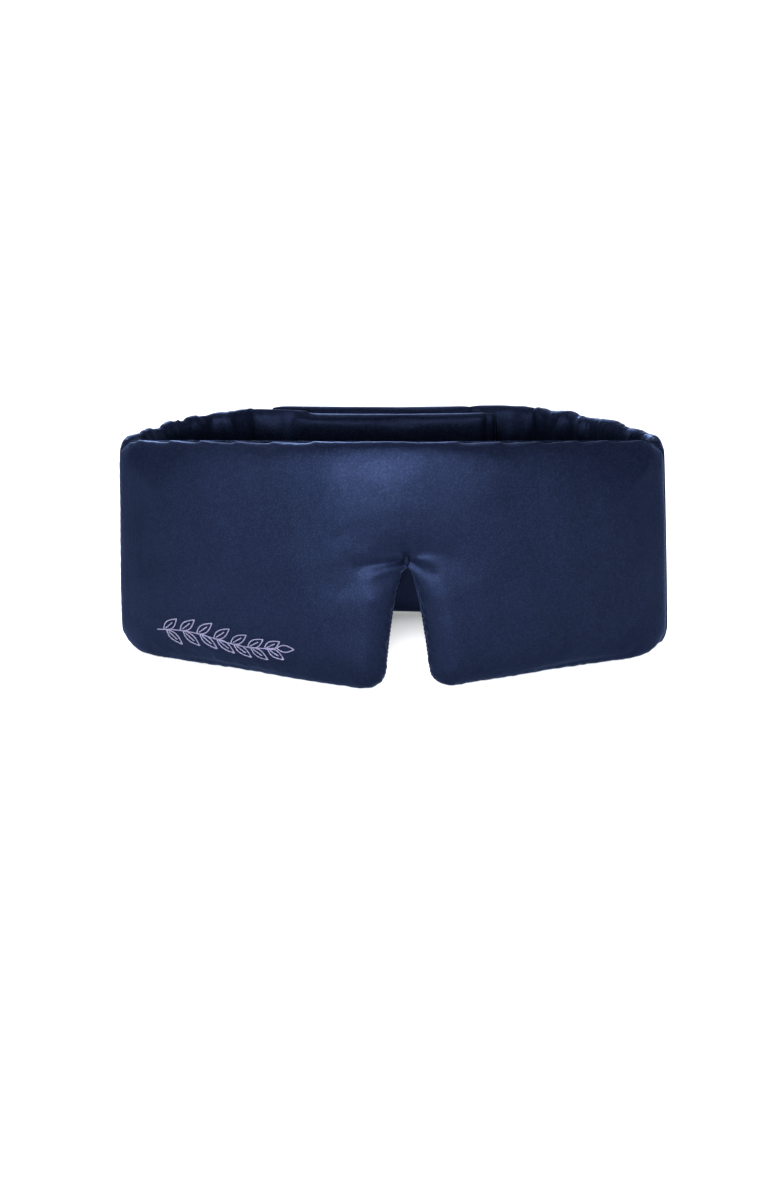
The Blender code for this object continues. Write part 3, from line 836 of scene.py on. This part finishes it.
def plan_curve(knots, count):
    """A Catmull-Rom curve through plan points, its left-hand normals and its length so far.

    It is sampled evenly by length.
    """
    knots = np.asarray(knots, float)
    padded = np.concatenate([[2 * knots[0] - knots[1]], knots, [2 * knots[-1] - knots[-2]]])
    t = np.linspace(0, 1, 24, endpoint=False)[:, None]
    pieces = []
    for a, b, c, d in zip(padded[:-3], padded[1:-2], padded[2:-1], padded[3:]):
        pieces.append(0.5 * (2 * b + (c - a) * t + (2 * a - 5 * b + 4 * c - d) * t ** 2
                             + (3 * b - a - 3 * c + d) * t ** 3))
    path = np.concatenate(pieces + [knots[-1:]])
    length = np.concatenate([[0], np.cumsum(np.linalg.norm(np.diff(path, axis=0), axis=1))])
    even = np.linspace(0, length[-1], count)
    points = np.stack([np.interp(even, length, path[:, k]) for k in (0, 1)], -1)
    tangent = unit(np.gradient(points, axis=0))
    return points, np.stack([-tangent[:, 1], tangent[:, 0]], -1), even


def folds(s, h, centres, widths, depths, tilts, seed):
    """Upright gathers: each a bell-shaped ridge across s, leaning and swaying with height h."""
    random = np.random.default_rng(seed)
    total = np.zeros_like(s)
    for centre, width, depth, tilt in zip(centres, widths, depths, tilts):
        sway = np.sin(2 * np.pi * (h * random.uniform(0.5, 1.2) + random.uniform())) * width * 0.5
        strong = 0.65 + 0.35 * np.sin(2 * np.pi * (h * random.uniform(0.4, 1.3) + random.uniform()))
        total += depth * strong * np.exp(-((s - centre - tilt * (h - 0.5) - sway) / width) ** 2)
    return total


def gather_set(seed, first, last, spacing, width, depth):
    """Jittered gathers between two places along a band, ridges and hollows by turns: their
    centres, widths, depths and tilts."""
    random = np.random.default_rng(seed)
    count = max(2, int((last - first) / spacing))
    centres = np.linspace(first, last, count) + random.uniform(-0.35, 0.35, count) * spacing
    signs = np.where(np.arange(count) % 2, -1.0, 1.0)
    widths = random.uniform(0.7, 1.3, count) * width
    depths = signs * random.uniform(0.5, 1.1, count) * depth
    return centres, widths, depths, random.uniform(-1, 1, count) * spacing * 0.5


def strap_shell(curve, low, high, thick, gathers_out, gathers_in, seed, ends, rows=44):
    """Both faces of a strap: thick times a quarter-ellipse over the distance from the edges, plus
    the gathers.

    ends are the corner radii, low then high, at its start and at its end.
    """
    points, normals, length = curve
    total = length[-1]
    bottom, top = low + 0 * length, high + 0 * length
    for (low_radius, high_radius), into in zip(ends, (length, total - length)):
        bottom = np.maximum(bottom, low + corner(low_radius - into, low_radius))
        top = np.minimum(top, high - corner(high_radius - into, high_radius))
    share = (1 - np.cos(np.linspace(0, np.pi, rows))) / 2
    z = bottom[:, None] + (top - bottom)[:, None] * share
    s = np.broadcast_to(length[:, None], z.shape)
    outline = np.concatenate([np.stack([length, bottom], -1), np.stack([length, top], -1)[::-1]])
    into = np.clip(edge_distance(s, z, outline) / STRAP_REACH, 0, 1)
    crown = np.sqrt(1 - (1 - into) ** 2)
    h = z / BAND_TOP
    faces = []
    for side, gathers, number in ((1, gathers_out, 0), (-1, gathers_in, 1)):
        bulge = folds(s, h, *gathers, seed + number) if gathers else 0
        fade = 0.35 + 0.65 * crown
        offset = side * (HALF_SEAM + thick * crown + bulge * fade)
        plan = points[:, None] + normals[:, None] * offset[..., None]
        faces.append(np.concatenate([plan, z[..., None]], -1))
    return closed_pad(*faces)


def drop_top(mesh, curve, seed, amount):
    """Lets the upper edge sink unevenly, as elastic draws it in: amount times the cube of the
    share of the upper half's height, times waves along the band."""
    points = coordinates(mesh)
    line, _, length = curve
    nearest = ((points[:, None, :2] - line[None, ::6]) ** 2).sum(-1).argmin(1)
    s = length[::6][nearest]
    high = np.clip((points[:, 2] - 0.5 * BAND_TOP) / (0.5 * BAND_TOP), 0, 1)
    points[:, 2] -= high ** 3 * amount * (0.5 + 0.5 * waves(s, 0 * s, seed, 6, 0.03, 0.008).clip(-1, 1))
    points[:, 2] = np.maximum(points[:, 2], 0.0001)
    move_to(mesh, flared(points))


satin_band = satin("satin_band", 0.95, crease=0.8)
satin_strap = satin("satin_strap", 0.95, crease=0.25)


def band(side, knots, gathers_out, gathers_in, seed, rise_to):
    """One gathered side band, from inside the front panel's end seam round to its strap.

    rise_to is how much higher its gathers bunch at the strap.
    """
    name = "right" if side > 0 else "left"
    curve = plan_curve(np.array(knots) * (side, 1.0), 150)
    if side > 0:
        curve = (curve[0], -curve[1], curve[2])
    top = BAND_TOP + 0.0012 + np.interp(curve[2] / curve[2][-1], [0.3, 1.0], [0.0, rise_to])
    shell = strap_shell(curve, FLOOR_GAP, top, BAND_THICK, gathers_out, gathers_in, seed,
                        (BAND_STARTS, SQUARE_ENDS))
    made = stuffed(f"{name}_band", *shell, satin_band, voxel=0.0022, cap=0.0012, smooth=2)
    drop_top(made.data, curve, seed, BAND_SINKS)
    return made


# ============================================================ left band and inner strap
# The left band is gathered most where the strap is sewn to it. The inner strap lies against
# the head, ends in a turned hem, and carries the hook tape on its outer face.

# Plan points, as on the right side; the band is turned over to the left when it is made.
LEFT_KNOTS = [(0.1238, -0.0042), (0.1196, 0.0068), (0.1116, 0.0165), (0.0991, 0.0275),
              (0.0840, 0.0352), (0.0668, 0.0386), (0.0642, 0.0386)]
left_out = gather_set(21, 0.0088, 0.0728, 0.0058, 0.0024, 0.0024)
left_in = gather_set(22, 0.0488, 0.0748, 0.0056, 0.0023, 0.0032)
left_band = band(-1, LEFT_KNOTS, left_out, left_in, 31, 0.0016)
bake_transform(left_band)
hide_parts("left_band_cover", "left_band_lining", "left_band_padding", "left_band_elastic",
            "left_side_seam", "left_strap_seam")

STEP_RUN = 0.017
INNER_TIP_X = 0.0490
HEM = 0.0055


def strap(name, x_start, x_end, y, ends, step=0.0, gathers=None, seed=1, columns=120, rise=0.0):
    """A flat padded strap along X at y, whose start may be set back by a smooth step.

    The step is 3 t squared less 2 t cubed over its first STEP_RUN, and rise lifts its start as a bell.
    """
    x = np.linspace(x_start, x_end, columns)
    share = np.clip(np.abs(x - x_start) / STEP_RUN, 0, 1)
    line = np.stack([x, y - step * (1 - share * share * (3 - 2 * share))], -1)
    tangent = unit(np.gradient(line, axis=0)) * np.sign(x_end - x_start)
    normal = np.stack([-tangent[:, 1], tangent[:, 0]], -1)
    curve = (line, normal, np.abs(x - x_start))
    top = BAND_TOP + 0.0010 + rise * gauss(x - x_start, 0.030)
    shell = strap_shell(curve, FLOOR_GAP, top, STRAP_THICK, gathers, gathers, seed, ends)
    return stuffed(name, *shell, satin_strap, voxel=0.0024, cap=0.0010, smooth=3)


def hem(mesh, x_tip, inside, y_middle):
    """Presses a strap flat over the turned hem at its tip, with a bell-shaped stitched groove
    beside it. inside is the way from the strap to its tip along X."""
    points = coordinates(mesh)
    into = (x_tip - points[:, 0]) * inside
    off = points[:, 1] - y_middle
    points[:, 1] = y_middle + off * (1 - 0.42 * gauss(into - HEM, 0.0013) - 0.12 * (into < HEM))
    move_to(mesh, points)


inner_gathers = gather_set(41, 0.002, 0.018, 0.0055, 0.0018, 0.0007)
inner_strap = strap("inner_strap", -HINGE_X - 0.0030, INNER_TIP_X, INNER_STRAP_Y,
                    (SQUARE_ENDS, (0.004, 0.004)), gathers=inner_gathers, seed=42, rise=0.0016)
hem(inner_strap.data, INNER_TIP_X, 1, INNER_STRAP_Y)
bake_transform(inner_strap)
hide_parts("inner_strap_cover", "inner_strap_lining", "inner_strap_padding")

# ============================================================ right band and outer strap
# The right band is ruched over its whole length. The outer strap steps out over the inner one.

RIGHT_KNOTS = [(0.1238, -0.0042), (0.1200, 0.0070), (0.1116, 0.0174), (0.0975, 0.0290),
               (0.0825, 0.0384), (0.0668, 0.0449), (0.0642, 0.0456)]
right_out = gather_set(51, 0.0088, 0.0748, 0.0058, 0.0024, 0.0026)
right_in = gather_set(52, 0.0088, 0.0748, 0.0062, 0.0025, 0.0030)
right_band = band(1, RIGHT_KNOTS, right_out, right_in, 61, 0.0)
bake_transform(right_band)
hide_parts("right_band_cover", "right_band_lining", "right_band_padding", "right_band_elastic",
            "right_side_seam", "right_strap_seam")

PEEL_X = 0.0360                # where the strap's free end starts to peel
PEEL_LAP = 0.0024              # each of the two pieces runs on past that line by this much
outer_gathers = gather_set(71, 0.002, 0.014, 0.0055, 0.0018, 0.0006)
outer_strap = strap("outer_strap", HINGE_X + 0.0022, PEEL_X - PEEL_LAP, OUTER_STRAP_Y,
                    (SQUARE_ENDS, SQUARE_ENDS), step=0.0030, gathers=outer_gathers, seed=72, columns=60)
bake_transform(outer_strap)
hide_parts("outer_strap_cover", "outer_strap_lining", "outer_strap_padding")

# ============================================================ closure flap
# The free end of the outer strap, round at its corners, which presses on to the hook tape
# with the loop tape sewn to its inner face.

FLAP_TIP_X = -0.0630
closure_flap = strap("closure_strap_end", PEEL_X + PEEL_LAP, FLAP_TIP_X, OUTER_STRAP_Y,
                     (SQUARE_ENDS, (0.010, 0.010)), seed=82)
hem(closure_flap.data, FLAP_TIP_X, -1, OUTER_STRAP_Y)
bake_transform(closure_flap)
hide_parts("closure_flap_cover", "closure_flap_lining", "closure_flap_padding")

# ============================================================ hook and loop tapes
# Two woven tapes with a pile face, stitched round their edges: stiff hooks on the inner
# strap and soft loops on the closure flap.

PILE = 1500.0                  # tufts per metre
PILE_DARK = (0.0020, 0.0026, 0.0070, 1.0)
PILE_LIGHT = (0.0090, 0.0115, 0.0280, 1.0)
PILE_HEIGHT = 0.00012
TAPE_STITCHED = 0.0022         # how far in from its edges a tape is stitched
TAPE_BURIED = 0.0007

tape_finish = Finish("closure_tape")
pile = tape_finish.noise(PILE, 2.0, 0.7)
pile_colour = tape_finish.mix(pile, PILE_DARK, PILE_LIGHT)
tape_finish.set(Base_Color=pile_colour, Roughness=(0.75 + pile * 0.2).clamp(), Sheen_Weight=0.03,
                Specular_IOR_Level=0.1, Sheen_Roughness=0.5, Normal=tape_finish.bump(pile, 0.0003, 1.0))


def tape(name, node_name, buried):
    """A rectangular tape with a furry face, sunk by buried into the strap behind it.

    Its thickness falls off exponentially at the border and as a bell along the stitching.
    """
    low, high = (np.array(c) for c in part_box(node_name))
    columns, rows = 160, 100
    x = np.linspace(low[0], high[0], columns)[:, None] + np.zeros((1, rows))
    z = np.linspace(low[2], high[2], rows)[None, :] + np.zeros((columns, 1))
    border = np.minimum(np.minimum(x - low[0], high[0] - x), np.minimum(z - low[2], high[2] - z))
    fur = np.random.default_rng(5).uniform(0, 1, x.shape) * PILE_HEIGHT
    rise = 1 - 0.30 * np.exp(-border / 0.0006) - 0.30 * gauss(border - TAPE_STITCHED, 0.0005)
    thick = (high[1] - low[1]) * rise + fur - PILE_HEIGHT
    if buried < 0:
        outer, inner = low[1] + thick, np.full_like(x, low[1] + buried)
    else:
        outer, inner = high[1] - thick, np.full_like(x, high[1] + buried)
    shell = closed_pad(*(np.stack([x, y, z], -1) for y in (outer, inner)))
    made = mesh_object(name, *shell, tape_finish.material)
    fix_facing(made)
    return made


hooks = tape("hook_pile_tape", "hook_tape", -TAPE_BURIED)
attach(hooks, "inner_strap")
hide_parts("hook_tape")
loops = tape("loop_pile_tape", "loop_tape", TAPE_BURIED)
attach(loops, "closure_flap")
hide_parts("loop_tape")
